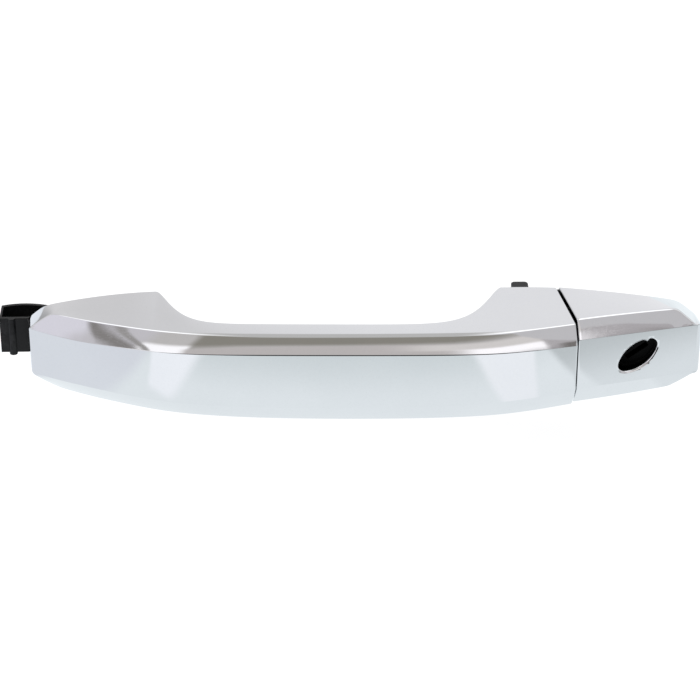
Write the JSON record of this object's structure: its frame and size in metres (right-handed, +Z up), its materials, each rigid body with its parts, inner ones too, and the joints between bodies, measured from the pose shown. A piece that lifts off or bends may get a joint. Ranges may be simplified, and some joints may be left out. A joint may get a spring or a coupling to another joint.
{
  "type": "car door handle",
  "caption": "Pull-type exterior car door handle: plated bow grip on a front hinge, fixed rear cap with keyhole, and a door-side carrier with lock and return bellcrank.",
  "frame": {"origin": "middle of the two carrier bolt holes, on the carrier face that lies against the inside of the door skin", "axes": "+X towards the rear of the door (grip's hinge at -X, keyhole cap at +X), -Y outwards from the door (the side that shows), +Z up"},
  "size_m": [0.2547, 0.0713, 0.0575],
  "materials": {
    "chrome": "bright plated, mirror smooth",
    "black_plastic": "glass-filled, fine satin",
    "dark_plastic": "moulded satin",
    "ivory_plastic": "self-lubricating, satin",
    "rubber": "soft, matt",
    "zinc_steel": "zinc plated, satin",
    "spring_steel": "drawn wire and strip",
    "die_cast": "cast zinc, satin",
    "brass": "turned"
  },
  "bodies": {
    "carrier": {"carrier": "dark_plastic", "hinge_pin": "zinc_steel", "cap_shell": "chrome", "cap_frame": "dark_plastic", "key_guide": "black_plastic", "front_gasket": "rubber", "rear_gasket": "rubber", "cap_screw": "zinc_steel", "screw_insert": "brass", "lock_housing": "die_cast", "lock_clip": "spring_steel", "crank_axle": "zinc_steel", "axle_clip": "spring_steel", "return_spring": "spring_steel"},
    "grip": {"grip_cover": "chrome", "grip_liner": "black_plastic", "grip_core": "dark_plastic", "hinge_arm": "black_plastic", "hinge_bush": "ivory_plastic", "rear_leg": "black_plastic", "foot_pads": "rubber", "grip_screw_front": "zinc_steel", "grip_screw_rear": "zinc_steel"},
    "crank": {"bellcrank": "dark_plastic", "counterweight": "die_cast", "rod_clip": "ivory_plastic"},
    "plug": {"lock_plug": "die_cast", "tail_lever": "zinc_steel"}
  },
  "joints": [
    {"name": "pull_hinge", "type": "hinge", "parent": "carrier", "child": "grip", "pos_m": [-0.119, 0.00595, 0], "axis": [0, 0, -1], "range_deg": [0, 6], "stiffness_Nm_per_rad": 5, "springref_deg": -17.19},
    {"name": "crank_pivot", "type": "hinge", "parent": "carrier", "child": "crank", "pos_m": [0.066, 0.01585, -0.026], "axis": [1, 0, 0], "range_deg": [0, 69.5]},
    {"name": "key_turn", "type": "hinge", "parent": "carrier", "child": "plug", "pos_m": [0.103, 0, 0.0004], "axis": [0, -1, 0], "range_deg": [-60, 60], "stiffness_Nm_per_rad": 0.05}
  ],
  "couplings": [
    {"joint": "crank_pivot", "follows": "pull_hinge", "ratio": 11.57}
  ]
}
